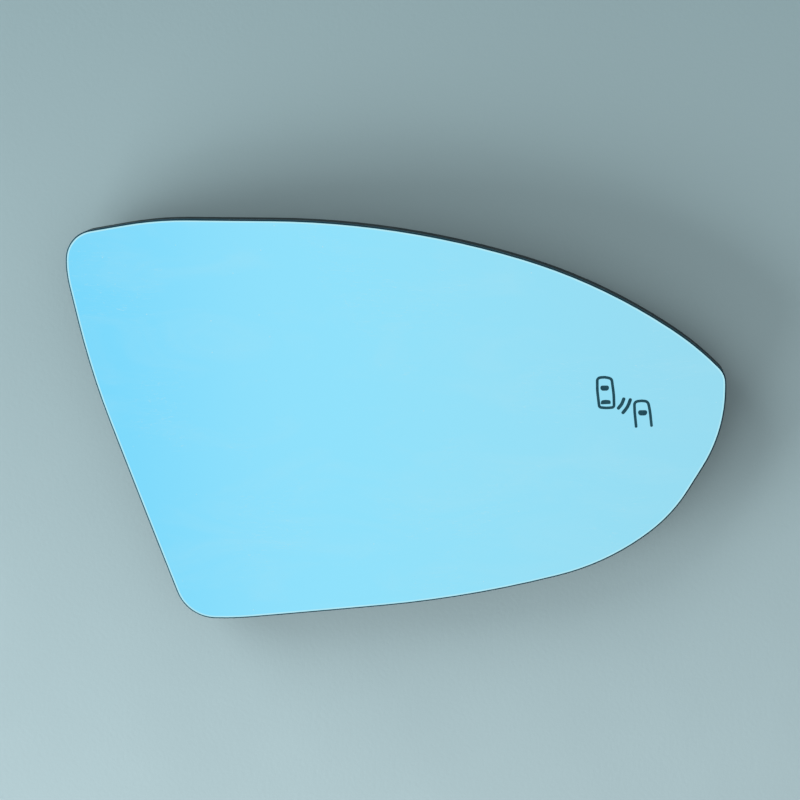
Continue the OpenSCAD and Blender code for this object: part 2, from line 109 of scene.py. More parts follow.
# corners are (x, y, radius), and an arc has a point for each step, in radians
def roundedPath(corners, closed, step=0.25):
    points = []
    count = len(corners)
    for i, (x, y, radius) in enumerate(corners):
        here = Vector((x, y))
        if not closed and i in (0, count - 1):
            points.append(here)
            continue
        wayIn = (here - Vector(corners[i - 1][:2])).normalized()
        wayOut = (Vector(corners[(i + 1) % count][:2]) - here).normalized()
        turn = math.atan2(wayIn.x * wayOut.y - wayIn.y * wayOut.x, wayIn.dot(wayOut))
        tangent = radius * math.tan(abs(turn) / 2)
        side = 1 if turn > 0 else -1
        centre = here - wayIn * tangent + Vector((-wayIn.y, wayIn.x)) * radius * side
        start = math.atan2(wayIn.y, wayIn.x) - side * math.pi / 2
        steps = max(2, math.ceil(abs(turn) / step))
        for s in range(steps + 1):
            angle = start + turn * s / steps
            points.append(centre + radius * Vector((math.cos(angle), math.sin(angle))))
    return points


def roundedBox(halfLength, halfWidth, corner):
    x, y = halfLength, halfWidth
    return roundedPath([(-x, -y, corner), (x, -y, corner), (x, y, corner), (-x, y, corner)], True)


def meshPiece(name, vertices, faces, smooth=True):
    mesh = bpy.data.meshes.new(name)
    mesh.from_pydata([tuple(v) for v in vertices], [], faces)
    mesh.validate()
    mesh.update()
    piece = bpy.data.objects.new(name, mesh)
    bpy.context.collection.objects.link(piece)
    if smooth:
        mesh.polygons.foreach_set("use_smooth", [True] * len(mesh.polygons))
    return piece


# adds a closed skin over rings that have as many points each, flat at both ends
def stackRings(vertices, faces, rings):
    first, count = len(vertices), len(rings[0])
    for ring in rings:
        vertices.extend(ring)
    for k in range(1, len(rings)):
        a, b = first + (k - 1) * count, first + k * count
        for i in range(count):
            j = (i + 1) % count
            faces.append((a + i, a + j, b + j, b + i))
    faces.append(tuple(reversed(range(first, first + count))))
    faces.append(tuple(range(first + (len(rings) - 1) * count, first + len(rings) * count)))


def turnOutward(piece):  # makes all faces look out of the piece
    work = bmesh.new()
    work.from_mesh(piece.data)
    bmesh.ops.recalc_face_normals(work, faces=work.faces)
    work.to_mesh(piece.data)
    work.free()


def sharpenEdges(piece, degrees):  # where a finish ends, or the surface turns by more than that
    mesh = piece.data
    work = bmesh.new()
    work.from_mesh(mesh)
    for edge in work.edges:
        sides = edge.link_faces
        edge.smooth = (len(sides) == 2 and sides[0].material_index == sides[1].material_index
            and edge.calc_face_angle(0) < math.radians(degrees))
    work.to_mesh(mesh)
    work.free()


def srgb(red, green, blue):  # a colour as seen on a screen, 0 to 255, as linear values
    def linear(value):
        value /= 255
        return value / 12.92 if value <= 0.04045 else ((value + 0.055) / 1.055) ** 2.4
    return linear(red), linear(green), linear(blue), 1.0


# Small helpers for node trees

# each input is a fixed value or the output of another node
def place(tree, kind, inputs=None, **settings):
    item = tree.nodes.new(kind)
    for name, value in settings.items():
        setattr(item, name, value)
    for name, value in (inputs or {}).items():
        if isinstance(value, bpy.types.NodeSocket):
            tree.links.new(value, item.inputs[name])
        else:
            item.inputs[name].default_value = value
    return item


def startGroup(name, inputs, outputs):  # all sockets of these groups are plain numbers
    tree = bpy.data.node_groups.new(name, "ShaderNodeTree")
    for label, value in inputs.items():
        socket = tree.interface.new_socket(label, in_out="INPUT", socket_type="NodeSocketFloat")
        socket.default_value = value
    for label in outputs:
        tree.interface.new_socket(label, in_out="OUTPUT", socket_type="NodeSocketFloat")
    return tree, tree.nodes.new("NodeGroupInput"), tree.nodes.new("NodeGroupOutput")


def useGroup(tree, group, inputs):
    return place(tree, "ShaderNodeGroup", inputs, node_tree=group)


def startMaterial(name, colour, roughness, sockets=None):
    material = bpy.data.materials.new(name)
    material.use_nodes = True
    tree = material.node_tree
    shader = tree.nodes["Principled BSDF"]
    for label, value in {"Base Color": colour, "Roughness": roughness, **(sockets or {})}.items():
        shader.inputs[label].default_value = value
    return material, tree, shader


def whereOn(tree):  # place on the piece, in metres
    return tree.nodes.new("ShaderNodeTexCoord").outputs["Object"]


def calculate(tree, operation, *values, **settings):
    item = place(tree, "ShaderNodeMath", dict(enumerate(values)), operation=operation, **settings)
    return item.outputs[0]


def scaleFor(tree, size):  # scale at which the forms of a texture have that size
    return calculate(tree, "DIVIDE", 1.0, size)


def noiseOn(tree, where, scale, detail, output="Fac", **inputs):
    item = place(tree, "ShaderNodeTexNoise", {
        "Vector": where, "Scale": scale, "Detail": detail, **inputs})
    return item.outputs[output]


def turnAndStretch(tree, where, angle, stretch=1.0):  # about the height, and then across
    item = place(tree, "ShaderNodeMapping", {
        "Vector": where, "Rotation": (0.0, 0.0, angle), "Scale": (1.0, stretch, 1.0)})
    return item.outputs[0]


def mixColours(tree, share, first, second):
    item = place(tree, "ShaderNodeMix", {0: share, 6: first, 7: second}, data_type="RGBA")
    return item.outputs[2]


def remap(tree, value, fromRange, toRange=(0.0, 1.0)):
    item = place(tree, "ShaderNodeMapRange", {
        "Value": value, "From Min": fromRange[0], "From Max": fromRange[1],
        "To Min": toRange[0], "To Max": toRange[1]})
    return item.outputs[0]


def weaken(tree, mask, share):
    return remap(tree, mask, (0.0, 1.0), (0.0, share))


def bumpInto(tree, shader, height, distance, strength=1.0):
    bump = place(tree, "ShaderNodeBump", {
        "Height": height, "Distance": distance, "Strength": strength})
    tree.links.new(bump.outputs["Normal"], shader.inputs["Normal"])


# Effects that several materials share

grainLook = {                       # size that each output follows, and the detail of its noise
    "Height": ("Grain size", 3.0),
    "Tone": ("Patch size", 5.0),
}
toneRange = (0.3, 0.7)              # where nearly all of the tone lies


def makeGrainGroup():  # fine grain of a moulded or cast surface, and its broad unevenness
    tree, inside, outside = startGroup(
        "moulded grain", {"Grain size": 0.4 * mm, "Patch size": 20 * mm}, ["Height", "Tone"])
    where = whereOn(tree)
    for label, (size, detail) in grainLook.items():
        noise = noiseOn(tree, where, scaleFor(tree, inside.outputs[size]), detail)
        tree.links.new(noise, outside.inputs[label])
    return tree


scratchLook = {
    "bendScale": 18.0,              # of the noise that bends the scratches
    "bend": 0.012,                  # share of that noise in the place on the piece
    "ways": ((0.35, 14.0), (-0.9, 9.0)),     # angle and stretch of each direction
    "detail": 2.0,
    "ridge": 0.5,                   # value of the noise along which a scratch runs
    "width": 0.004,                 # of a scratch, in steps of the noise
    "patchScale": 45.0,
    "patchRange": (0.52, 0.62),     # where scratches begin to show, and show in full
}


def makeScratchGroup():  # hair-thin scratches in two directions, as a mask
    tree, inside, outside = startGroup(
        "hair scratches", {"Spacing": 10 * mm, "Amount": 0.5}, ["Mask"])
    where = whereOn(tree)
    scale = scaleFor(tree, inside.outputs["Spacing"])
    warp = noiseOn(tree, where, scratchLook["bendScale"], 1.0, output="Color")
    bent = place(tree, "ShaderNodeMix", {
        0: scratchLook["bend"], 4: where, 5: warp}, data_type="VECTOR").outputs[1]
    lines = []
    for angle, stretch in scratchLook["ways"]:
        turned = turnAndStretch(tree, bent, angle, stretch)
        cells = noiseOn(tree, turned, scale, scratchLook["detail"])
        off = calculate(tree, "SUBTRACT", cells, scratchLook["ridge"])
        off = calculate(tree, "ABSOLUTE", off)
        lines.append(remap(tree, off, (0.0, scratchLook["width"]), (1.0, 0.0)))
    both = calculate(tree, "MAXIMUM", *lines)
    patches = noiseOn(tree, where, scratchLook["patchScale"], scratchLook["detail"])
    mask = calculate(tree, "MULTIPLY", both, remap(tree, patches, scratchLook["patchRange"]))
    mask = calculate(tree, "MULTIPLY", mask, inside.outputs["Amount"])
    tree.links.new(mask, outside.inputs["Mask"])
    return tree


wearLook = {
    "samples": 4,
    "cornerRange": (0.98, 0.8),     # cosine of the turn where wear begins, and where it is full
    "detail": 4.0,
    "patchRange": (0.4, 0.65),
    "patchShare": (0.15, 1.0),      # of the wear, between its patches and on them
}


def makeWearGroup():  # rubbed corners: where a rounded surface turns away from the real one
    tree, inside, outside = startGroup(
        "rubbed corners", {"Reach": 0.2 * mm, "Patch size": 4 * mm}, ["Mask"])
    real = tree.nodes.new("ShaderNodeNewGeometry").outputs["Normal"]
    where = whereOn(tree)
    rounded = place(tree, "ShaderNodeBevel", {
        "Radius": inside.outputs["Reach"]}, samples=wearLook["samples"]).outputs["Normal"]
    turned = place(tree, "ShaderNodeVectorMath", {0: rounded, 1: real}, operation="DOT_PRODUCT")
    corner = remap(tree, turned.outputs["Value"], wearLook["cornerRange"])
    scale = scaleFor(tree, inside.outputs["Patch size"])
    patches = noiseOn(tree, where, scale, wearLook["detail"])
    uneven = remap(tree, patches, wearLook["patchRange"], wearLook["patchShare"])
    mask = calculate(tree, "MULTIPLY", corner, uneven, use_clamp=True)
    tree.links.new(mask, outside.inputs["Mask"])
    return tree


handlingLook = {
    "wipeAngle": 0.6,               # of the direction in which smears are wiped
    "wipeStretch": 2.6,
    "smearNoise": {"Roughness": 0.62, "Distortion": 0.8},
    "smearDetail": 6.0,
    "smearRange": (0.5, 0.72),
    "speckRange": (0.03, 0.1),      # from the middle of a speck, as a share of the speck size
    "patchScale": 400.0,
    "patchRange": (0.7, 0.72),      # so high that few of the specks are left
}


def makeHandlingGroup():  # faint smears of handling and settled dust, as two masks
    tree, inside, outside = startGroup(
        "handling marks", {"Smear size": 30 * mm, "Speck size": 0.6 * mm}, ["Smear", "Dust"])
    where = whereOn(tree)
    wiped = turnAndStretch(tree, where, handlingLook["wipeAngle"], handlingLook["wipeStretch"])
    broad = noiseOn(tree, wiped, scaleFor(tree, inside.outputs["Smear size"]),
        handlingLook["smearDetail"], **handlingLook["smearNoise"])
    tree.links.new(remap(tree, broad, handlingLook["smearRange"]), outside.inputs["Smear"])
    specks = place(tree, "ShaderNodeTexVoronoi", {
        "Vector": where, "Scale": scaleFor(tree, inside.outputs["Speck size"])})
    dust = remap(tree, specks.outputs["Distance"], handlingLook["speckRange"], (1.0, 0.0))
    patches = noiseOn(tree, where, handlingLook["patchScale"], 0.0)
    dust = calculate(tree, "MULTIPLY", dust, remap(tree, patches, handlingLook["patchRange"]))
    tree.links.new(dust, outside.inputs["Dust"])
    return tree


grainGroup = makeGrainGroup()
scratchGroup = makeScratchGroup()
wearGroup = makeWearGroup()
handlingGroup = makeHandlingGroup()


def makeGrained(name, look):  # a finish whose colour, gloss and height vary with its grain
    material, tree, shader = startMaterial(
        name, look["colour"], look["roughness"], look.get("sockets"))
    grain = useGroup(tree, grainGroup, look["grain"])
    tint = mixColours(tree, grain.outputs["Tone"], *look["tones"])
    if "scratches" in look:
        scratches = useGroup(tree, scratchGroup, look["scratches"])
        tint = mixColours(tree, scratches.outputs["Mask"], tint, look["colour"])
    tree.links.new(tint, shader.inputs["Base Color"])
    if "gloss" in look:
        rough = remap(tree, grain.outputs["Tone"], toneRange, look["gloss"])
        tree.links.new(rough, shader.inputs["Roughness"])
    if "bump" in look:
        bumpInto(tree, shader, grain.outputs["Height"], look["bump"])
    return material


# Materials of the glass

coat = {
    "tintAndPaintedReflectionStops": {                      # from the inner end of the glass to its tip: the coat's own blue tint, with a painted reflection that turns paler towards the tip
        0.0: srgb(120, 216, 252),
        0.25: srgb(139, 223, 252),
        0.5: srgb(146, 225, 250),
        1.0: srgb(152, 220, 241),
    },
    "turn": math.radians(-5),       # of the line along which the colour changes
    "roughness": 0.045,
    "marks": {"Smear size": 35 * mm, "Speck size": 2.2 * mm},
    "scratches": {"Spacing": 12 * mm, "Amount": 0.5},
    "smear": srgb(176, 226, 240),
    "smearShare": 0.16,
    "smearRoughness": 0.14,
    "dust": srgb(178, 226, 240),
}


def makeMirrorCoat():
    material, tree, shader = startMaterial(
        "blue mirror coat", coat["tintAndPaintedReflectionStops"][0.5], coat["roughness"], {"Metallic": 1.0})
    # painted reflection: the coat's colour pales along the glass towards its tip
    along = place(tree, "ShaderNodeSeparateXYZ", {
        "Vector": turnAndStretch(tree, whereOn(tree), coat["turn"])}).outputs["X"]
    share = remap(tree, along, (cadBox[0][0], cadBox[1][0]))
    ramp = place(tree, "ShaderNodeValToRGB", {"Fac": share})
    ramp.color_ramp.interpolation = "CARDINAL"
    tintAndPaintedReflectionStops = ramp.color_ramp.elements
    for position in sorted(coat["tintAndPaintedReflectionStops"])[1:-1]:
        tintAndPaintedReflectionStops.new(position)
    for stop, position in zip(tintAndPaintedReflectionStops, sorted(coat["tintAndPaintedReflectionStops"])):
        stop.color = coat["tintAndPaintedReflectionStops"][position]
    marks = useGroup(tree, handlingGroup, coat["marks"])
    scratches = useGroup(tree, scratchGroup, coat["scratches"])
    smear = weaken(tree, marks.outputs["Smear"], coat["smearShare"])
    tint = mixColours(tree, smear, ramp.outputs["Color"], coat["smear"])
    tint = mixColours(tree, scratches.outputs["Mask"], tint, coat["dust"])
    tint = mixColours(tree, marks.outputs["Dust"], tint, coat["dust"])
    tree.links.new(tint, shader.inputs["Base Color"])
    gloss = (coat["roughness"], coat["smearRoughness"])
    rough = remap(tree, marks.outputs["Smear"], (0.0, 1.0), gloss)
    tree.links.new(rough, shader.inputs["Roughness"])
    return material


glassFinishes = {
    "ground edge and painted highlight": {                # the arris that is ground on both rims of the glass; its pale colour is partly the ground glass and partly a painted highlight
        "colour": srgb(176, 232, 246),
        "tones": (srgb(166, 228, 244), srgb(186, 236, 248)),
        "roughness": 0.16,
        "sockets": {"Metallic": 1.0},
        "grain": {"Grain size": 0.18 * mm, "Patch size": 6 * mm},
        "bump": 0.03 * mm,
    },
    # dark partly from the glass's own edge and partly as painted shade; also laid on the outer
    # band of each arris as painted shade
    "glass side and painted shade": {
        "colour": srgb(10, 62, 78),
        "tones": (srgb(4, 52, 68), srgb(18, 72, 88)),
        "roughness": 0.3,
        "gloss": (0.24, 0.4),
        "sockets": {"Specular IOR Level": 0.12},
        "grain": {"Grain size": 0.3 * mm, "Patch size": 5 * mm},
        "bump": 0.02 * mm,
    },
    "back lacquer": {
        "colour": srgb(72, 78, 82),
        "tones": (srgb(60, 66, 70), srgb(86, 92, 96)),
        "roughness": 0.4,
        "grain": {"Grain size": 0.8 * mm, "Patch size": 15 * mm},
    },
    "etched sign": {                # the coat is etched away, so the dark ground behind it shows
        "colour": srgb(30, 78, 94),
        "tones": (srgb(18, 62, 78), srgb(46, 94, 106)),
        "roughness": 0.35,
        "sockets": {"Specular IOR Level": 0.1},
        "grain": {"Grain size": 0.12 * mm, "Patch size": 2 * mm},
        "bump": 0.01 * mm,
    },
}


# The glass: a sheet between two spheres with one centre, ground along both rims

glass = {
    "faceRadius": 1260 * mm,
    "thickness": 2 * mm,
    "arris": 0.76 * mm,        # width of the ground rim on the face
    "darkEdgeAndShadeShare": 0.48,         # outer share of it, which is dark: partly the glass's own edge, partly painted shade
    "arrisDrop": 0.34 * mm,    # how far it comes down the side
    "bulgeShare": 0.13,        # share of that drop where the dark band, partly painted shade, begins
    "spacing": 0.9 * mm,       # between the points of the rim
    "rings": 26,               # rings from the rim to the middle of the face
    "sharpAbove": 25,          # degrees
}
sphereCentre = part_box("mirror_glass")[1][2] - glass["faceRadius"]
backRadius = glass["faceRadius"] - glass["thickness"]


def heightOn(radius, x, y):  # height of a sphere of that radius over a place on the glass
    return sphereCentre + math.sqrt(radius * radius - x * x - y * y)


def buildMirrorGlass():
    rim = evenly(hullOutline("mirror_glass"), glass["spacing"])
    left = sidewaysOf(rim)
    inner = [p + n * glass["arris"] for p, n in zip(rim, left)]
    bulge = [p + n * glass["arris"] * glass["darkEdgeAndShadeShare"] for p, n in zip(rim, left)]
    middle = sum(rim, Vector((0, 0))) / len(rim)
    shares = [1 - k / glass["rings"] for k in range(1, glass["rings"])]
    inward = [[middle + (p - middle) * share for p in inner] for share in shares]
    drop = glass["arrisDrop"]
    bulgeDrop = drop * glass["bulgeShare"]
    front, back = glass["faceRadius"], backRadius
    # the inner band of each arris takes the pale ground edge finish, partly a painted highlight
    coatSlot, edgeAndHighlightSlot, sideAndShadeSlot, backSlot = range(4)
    # the outer band of each arris takes the dark side finish, partly painted shade
    # from the middle of the back round the rim to the middle of the face
    sections = [(points, back, 0, backSlot) for points in reversed(inward)] + [
        (inner, back, 0, backSlot),
        (bulge, back, bulgeDrop, edgeAndHighlightSlot),
        (rim, back, drop, sideAndShadeSlot),
        (rim, front, -drop, sideAndShadeSlot),
        (bulge, front, -bulgeDrop, sideAndShadeSlot),
        (inner, front, 0, edgeAndHighlightSlot),
    ] + [(points, front, 0, coatSlot) for points in inward]

    vertices, faces, slots = [], [], []
    count = len(rim)
    for points, radius, offset, _ in sections:
        vertices += [(p.x, p.y, heightOn(radius, p.x, p.y) + offset) for p in points]
    for k in range(1, len(sections)):
        for i in range(count):
            j = (i + 1) % count
            a, b = (k - 1) * count, k * count
            faces.append((a + i, a + j, b + j, b + i))
            slots.append(sections[k][3])
    for k, radius, slot in ((0, back, backSlot), (len(sections) - 1, front, coatSlot)):
        tip = len(vertices)
        vertices.append((middle.x, middle.y, heightOn(radius, middle.x, middle.y)))
        for i in range(count):
            a, b = k * count + i, k * count + (i + 1) % count
            faces.append((b, a, tip) if slot == backSlot else (a, b, tip))
            slots.append(slot)
    piece = meshPiece("mirrorGlass", vertices, faces)
    piece.data.materials.append(makeMirrorCoat())
    for name in ("ground edge and painted highlight", "glass side and painted shade", "back lacquer"):
        piece.data.materials.append(makeGrained(name, glassFinishes[name]))
    piece.data.polygons.foreach_set("material_index", slots)
    sharpenEdges(piece, glass["sharpAbove"])
    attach(piece, "root")
    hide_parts("mirror_glass")
    print("glass built:", len(faces), "faces")


# The etched sign: two cars side by side with waves between them, in millimetres from its middle

sign = {
    "place": (65.83, 3.92),    # on the glass, from the ring axis
    "stroke": 0.74,
    "waveStroke": 0.9,
    "spacing": 0.12,           # between the points of a line
    "endSteps": 10,            # of the half circle at the end of a line
    "lift": 0.012 * mm,
    "thickness": 0.02 * mm,
    "weld": 0.002 * mm,        # points nearer to each other than this are one
    "sharpAbove": 30,          # degrees
    "closed": [
        [(-6.78, -1.5, 0.62), (-4.95, -1.72, 7), (-2.88, -1.5, 0.62), (-3.0, 1.9, 16),
            (-3.62, 6.12, 0.9), (-5.45, 6.62, 4.2), (-7.42, 6.3, 0.85), (-7.36, 2.9, 16)],
    ],
    "open": [
        [(3.0, -6.62, 0), (2.55, -2.6, 20), (2.45, -0.02, 0.9), (4.4, 0.33, 4.5),
            (6.05, 0.05, 1.15), (6.62, -2.6, 20), (7.06, -6.36, 0)],
    ],
    "waves": [
        [(-1.72, -1.7, 0), (-0.86, -0.66, 3.2), (-0.36, 0.73, 0)],
        [(-0.5, -2.9, 0), (0.72, -1.4, 5.2), (1.36, 0.52, 0)],
    ],
    "filled": [
        [(-6.45, 2.92, 0.72), (-4.4, 2.94, 0.72), (-4.18, 4.34, 0.56), (-6.68, 4.3, 0.56)],
        [(-6.45, -0.74, 0.3), (-3.76, -0.62, 0.3), (-3.84, 0.36, 0.5), (-5.1, 0.52, 2.4),
            (-6.32, 0.3, 0.5)],
        [(3.66, -3.68, 0.74), (5.72, -3.66, 0.74), (6.02, -2.22, 0.56), (3.3, -2.26, 0.56)],
    ],
}


def buildSign():
    vertices, faces = [], []

    def addShape(outline):
        first = len(vertices)
        vertices.extend(p.to_2d() for p in outline)
        faces.append(tuple(range(first, len(vertices))))

    def addEnd(point, across, half):  # a half circle that rounds the end of a line
        along = Vector((across.y, -across.x))
        angles = [math.pi * k / sign["endSteps"] for k in reversed(range(sign["endSteps"] + 1))]
        addShape([point + (across * math.cos(a) + along * math.sin(a)) * half for a in angles])

    def addStroke(points, closed, width):
        half = width / 2
        left = sidewaysOf(points, closed)
        first = len(vertices)
        for p, n in zip(points, left):
            vertices.extend((p + n * half, p - n * half))
        count = len(points)
        for i in range(count if closed else count - 1):
            a, b = first + 2 * i, first + 2 * ((i + 1) % count)
            faces.append((a, a + 1, b + 1, b))
        if not closed:
            addEnd(points[0], -left[0], half)
            addEnd(points[-1], left[-1], half)

    for kind, closed, width in (
            ("closed", True, sign["stroke"]), ("open", False, sign["stroke"]),
            ("waves", False, sign["waveStroke"])):
        for corners in sign[kind]:
            points = evenly(roundedPath(corners, closed), sign["spacing"], closed)
            addStroke(points, closed, width)
    for corners in sign["filled"]:
        addShape(evenly(roundedPath(corners, True), sign["spacing"]))
    onGlass = []
    for v in vertices:
        x, y = (v[0] + sign["place"][0]) * mm, (v[1] + sign["place"][1]) * mm
        onGlass.append((x, y, heightOn(glass["faceRadius"], x, y) + sign["lift"]))
    piece = meshPiece("blindSpotSign", onGlass, faces)
    work = bmesh.new()
    work.from_mesh(piece.data)
    bmesh.ops.remove_doubles(work, verts=work.verts, dist=sign["weld"])
    bmesh.ops.recalc_face_normals(work, faces=work.faces)
    bmesh.ops.solidify(work, geom=work.faces[:], thickness=sign["thickness"])
    work.to_mesh(piece.data)
    work.free()
    piece.data.materials.append(makeGrained("etched sign", glassFinishes["etched sign"]))
    sharpenEdges(piece, sign["sharpAbove"])
    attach(piece, "root")
    print("sign built:", len(piece.data.polygons), "faces")


# Materials of the parts behind the glass

plastic = {
    "plate plastic": {
        "dark": srgb(19, 29, 32),
        "light": srgb(29, 39, 42),
        "grain": 0.35 * mm,
        "roughness": 0.52,
    },
    "lamp plastic": {
        "dark": srgb(26, 29, 31),
        "light": srgb(38, 41, 43),
        "grain": 0.2 * mm,
        "roughness": 0.42,
    },
    "specular": 0.1,
    "patch": 18 * mm,
    "bump": 0.06 * mm,
    "wear": {"Reach": 0.22 * mm, "Patch size": 3 * mm},
    "wearShare": 0.4,
    "scuffs": {"Spacing": 9 * mm, "Amount": 0.3},
    "rubbed": srgb(104, 108, 112),  # colour of worn corners and scuffs
    "marks": {"Smear size": 20 * mm, "Speck size": 0.9 * mm},
    "dust": srgb(150, 152, 150),
    "dustShare": 0.4,
    "smearGloss": 0.14,             # by how much a smear is less rough
}


def makeMouldedPlastic(name):
    look = plastic[name]
    material, tree, shader = startMaterial(
        name, look["dark"], look["roughness"], {"Specular IOR Level": plastic["specular"]})
    grain = useGroup(tree, grainGroup, {
        "Grain size": look["grain"], "Patch size": plastic["patch"]})
    wear = useGroup(tree, wearGroup, plastic["wear"])
    scuffs = useGroup(tree, scratchGroup, plastic["scuffs"])
    marks = useGroup(tree, handlingGroup, plastic["marks"])
    tint = mixColours(tree, grain.outputs["Tone"], look["dark"], look["light"])
    rubbed = weaken(tree, wear.outputs["Mask"], plastic["wearShare"])
    tint = mixColours(tree, rubbed, tint, plastic["rubbed"])
    tint = mixColours(tree, scuffs.outputs["Mask"], tint, plastic["rubbed"])
    dusty = weaken(tree, marks.outputs["Dust"], plastic["dustShare"])
    tint = mixColours(tree, dusty, tint, plastic["dust"])
    tree.links.new(tint, shader.inputs["Base Color"])
    smeared = look["roughness"] - plastic["smearGloss"]
    rough = remap(tree, marks.outputs["Smear"], (0.0, 1.0), (look["roughness"], smeared))
    tree.links.new(rough, shader.inputs["Roughness"])
    bumpInto(tree, shader, grain.outputs["Height"], plastic["bump"])
    return material


metals = {                          # bright and dull tone, roughness
    "etched foil": (srgb(206, 208, 210), srgb(182, 184, 188), 0.36),
    "tin plate": (srgb(206, 203, 192), srgb(176, 172, 160), 0.34),
    "flash gold": (srgb(226, 186, 108), srgb(204, 164, 90), 0.3),
    "screw zinc": (srgb(190, 192, 196), srgb(164, 166, 172), 0.3),
}
metalLook = {
    "sockets": {"Metallic": 1.0},
    "grain": {"Grain size": 0.2 * mm, "Patch size": 3 * mm},
    "scratches": {"Spacing": 4 * mm, "Amount": 0.6},
    "bump": 0.015 * mm,
}
metalGloss = (-0.08, 0.12)          # how far the roughness goes down and up


def makeSheetMetal(name):
    bright, dull, roughness = metals[name]
    gloss = [roughness + change for change in metalGloss]
    return makeGrained(name, {
        **metalLook, "colour": bright, "tones": (bright, dull), "roughness": roughness,
        "gloss": gloss})


films = {                           # two tones, roughness
    "adhesive film": (srgb(206, 212, 214), srgb(190, 198, 202), 0.3),
    "amber film": (srgb(178, 112, 44), srgb(160, 96, 36), 0.3),
    "milky diffuser": (srgb(238, 236, 228), srgb(228, 226, 216), 0.4),
    "lamp package": (srgb(236, 232, 214), srgb(224, 218, 190), 0.35),
    "chip ceramic": (srgb(40, 40, 44), srgb(56, 56, 60), 0.5),
}
filmLook = {
    "grain": {"Grain size": 2 * mm, "Patch size": 12 * mm},
    "bump": 0.02 * mm,
}


def makeFilm(name):
    first, second, roughness = films[name]
    return makeGrained(name, {
        **filmLook, "colour": first, "tones": (first, second), "roughness": roughness})


foam = {
    "colour": srgb(58, 59, 62),
    "middle": srgb(78, 80, 83),     # of a cell
    "wall": srgb(40, 41, 44),
    "roughness": 0.95,
    "cellScale": 2600.0,
    "bump": 0.16 * mm,
}


def makeFoam():
    material, tree, shader = startMaterial("closed-cell foam", foam["colour"], foam["roughness"])
    cells = place(tree, "ShaderNodeTexVoronoi", {
        "Vector": whereOn(tree), "Scale": foam["cellScale"]}).outputs["Distance"]
    tint = mixColours(tree, cells, foam["middle"], foam["wall"])
    tree.links.new(tint, shader.inputs["Base Color"])
    bumpInto(tree, shader, cells, foam["bump"])
    return material


board = {
    "colour": srgb(24, 96, 62),
    "roughness": 0.3,
    "tracks": {                     # copper under the green mask
        "Scale": 260.0, "Mortar Size": 0.06, "Color1": srgb(20, 88, 56),
        "Color2": srgb(26, 104, 66), "Mortar": srgb(44, 132, 84)},
    "bump": 0.03 * mm,
}


def makeBoard():
    material, tree, shader = startMaterial("solder mask", board["colour"], board["roughness"])
    tracks = place(tree, "ShaderNodeTexBrick", {"Vector": whereOn(tree), **board["tracks"]})
    tree.links.new(tracks.outputs["Color"], shader.inputs["Base Color"])
    bumpInto(tree, shader, tracks.outputs["Fac"], board["bump"])
    return material


def makeFinishes():  # materials of the parts behind the glass, by name
    finishes = {"closed-cell foam": makeFoam(), "solder mask": makeBoard()}
    for make, names in (
            (makeMouldedPlastic, ("plate plastic", "lamp plastic")),
            (makeSheetMetal, metals), (makeFilm, films)):
        finishes.update({name: make(name) for name in names})
    return finishes


# Nodes that keep their own shape

nodeFinishes = {
    "bonding_film": "adhesive film",
    "heater_film": "amber film",
    "heater_track": "etched foil",
    "heater_terminal_1": "tin plate",
    "heater_terminal_2": "tin plate",
    "foam_pad": "closed-cell foam",
    "backing_plate": "plate plastic",
    "lamp_gasket": "closed-cell foam",
    "lamp_diffuser": "milky diffuser",
    "lamp_housing": "lamp plastic",
    "lamp_board": "solder mask",
    "lamp_led_1": "lamp package",
    "lamp_led_2": "lamp package",
    "lamp_resistor_1": "chip ceramic",
    "lamp_resistor_2": "chip ceramic",
    "lamp_pin_1": "flash gold",
    "lamp_pin_2": "flash gold",
}
softEdge = {
    "nodes": ("lamp_housing", "heater_terminal_1", "heater_terminal_2"),
    "width": 0.12 * mm,
    "segments": 2,
    "above": 40,                    # degrees that the surface turns by
}


def dressNodes(finishes):
    for name, finish in nodeFinishes.items():
        data = nodes[name].data
        data.materials.clear()
        data.materials.append(finishes[finish])
    for name in softEdge["nodes"]:
        bevel = nodes[name].modifiers.new("softEdges", "BEVEL")
        bevel.width = softEdge["width"]
        bevel.segments = softEdge["segments"]
        bevel.limit_method = "ANGLE"
        bevel.angle_limit = math.radians(softEdge["above"])
        bevel.harden_normals = False
    print("nodes dressed:", len(nodeFinishes))


# The lamp behind the sign: its frame lies on the back of the glass, and depth grows away from it

lampPlace = (66.25 * mm, 3.8 * mm)     # from the ring axis
lampSharpAbove = 28                    # degrees


def lampFrame():
    x, y = lampPlace
    out = Vector((x, y, math.sqrt(backRadius * backRadius - x * x - y * y)))
    turn = Vector((0, 0, 1)).rotation_difference(out).to_matrix().to_4x4()
    return Matrix.Translation(out + Vector((0, 0, sphereCentre))) @ turn


# half length, half width, least and greatest depth of a node of the lamp
def boxInLamp(nodeName):
    back = lampFrame().inverted()
    points = [back @ v.co for v in nodes[nodeName].data.vertices]
    depths = [-p.z for p in points]
    return max(abs(p.x) for p in points), max(abs(p.y) for p in points), min(depths), max(depths)


def layInLamp(name, points, faces, material):  # points are (x, y, depth) in the frame of the lamp
    onto = lampFrame()
    piece = meshPiece(name, [onto @ Vector((x, y, -depth)) for x, y, depth in points], faces)
    turnOutward(piece)
    sharpenEdges(piece, lampSharpAbove)
    piece.data.materials.append(material)
    print(name, "built:", len(faces), "faces")
    return piece


# Two pan-head screws with a cross recess and a coarse thread

